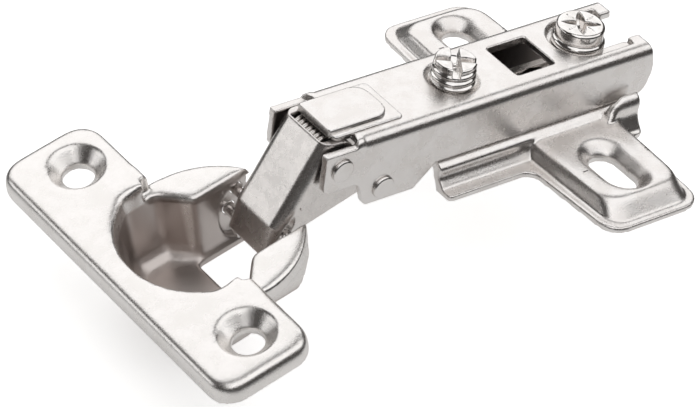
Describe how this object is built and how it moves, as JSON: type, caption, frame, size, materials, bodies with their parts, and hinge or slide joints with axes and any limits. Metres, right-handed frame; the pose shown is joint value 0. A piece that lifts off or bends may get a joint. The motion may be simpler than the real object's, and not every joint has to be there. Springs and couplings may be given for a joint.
{
  "type": "concealed cabinet hinge",
  "caption": "Concealed cup hinge for a cabinet door, open, with link arm, screw cup flange, torsion spring and cross-shaped mounting plate with slotted wings.",
  "frame": {"origin": "middle of the mounting plate's face on the cabinet side, half way between its two slots", "axes": "+X along the arm towards its rear end with the fixing screw, +Y across the arm along the plate's wings, +Z out of the cabinet side towards the screw heads"},
  "size_m": [0.0847, 0.0516, 0.0297],
  "materials": {
    "mounting_plate": "nickel plate over pressed steel",
    "hinge_arm": "nickel plate over pressed steel",
    "arm_front_pin": "nickel plate over pressed steel",
    "arm_rear_pin": "nickel plate over pressed steel",
    "torsion_spring": "spring steel, nickel plated",
    "side_adjusting_screw": "bright nickel plate",
    "fixing_screw": "bright nickel plate",
    "outer_link": "nickel plate over pressed steel",
    "inner_link": "nickel plate over pressed steel",
    "hinge_cup": "nickel plate over pressed steel",
    "cup_stud_near": "nickel plate over pressed steel",
    "cup_stud_far": "nickel plate over pressed steel",
    "cup_pin": "nickel plate over pressed steel"
  },
  "bodies": {
    "plate": {"mounting_plate": "mounting_plate"},
    "fixing_screw_body": {"fixing_screw": "fixing_screw"},
    "arm": {"hinge_arm": "hinge_arm", "arm_front_pin": "arm_front_pin", "arm_rear_pin": "arm_rear_pin", "torsion_spring": "torsion_spring"},
    "side_screw_body": {"side_adjusting_screw": "side_adjusting_screw"},
    "front_link": {"outer_link": "outer_link"},
    "rear_link": {"inner_link": "inner_link"},
    "cup": {"hinge_cup": "hinge_cup", "cup_stud_near": "cup_stud_near", "cup_stud_far": "cup_stud_far", "cup_pin": "cup_pin"}
  },
  "joints": [
    {"name": "arm_depth_slide", "type": "slide", "parent": "plate", "child": "arm", "axis": [1, 0, 0], "range_m": [-0.001, 0.0003]},
    {"name": "fixing_screw_turn", "type": "hinge", "parent": "plate", "child": "fixing_screw_body", "pos_m": [0.00468, 0, 0.0112], "axis": [0, 0, 1], "continuous": true},
    {"name": "side_screw_turn", "type": "hinge", "parent": "arm", "child": "side_screw_body", "pos_m": [-0.01729, 0, 0.0122], "axis": [0, 0, 1], "continuous": true},
    {"name": "outer_link_swing", "type": "hinge", "parent": "arm", "child": "front_link", "pos_m": [-0.03985, 0, 0.00851], "axis": [0, 1, 0], "range_deg": [-4, 0]},
    {"name": "inner_link_swing", "type": "hinge", "parent": "arm", "child": "rear_link", "pos_m": [-0.03224, 0, 0.00341], "axis": [0, 1, 0], "range_deg": [-24.2, 0]},
    {"name": "cup_fold", "type": "hinge", "parent": "front_link", "child": "cup", "pos_m": [-0.04649, 0, -0.00424], "axis": [0, 1, 0], "range_deg": [0, 110.9]}
  ],
  "couplings": [
    {"joint": "outer_link_swing", "follows": "cup_fold", "ratio": -0.03604},
    {"joint": "inner_link_swing", "follows": "cup_fold", "ratio": -0.21818}
  ]
}
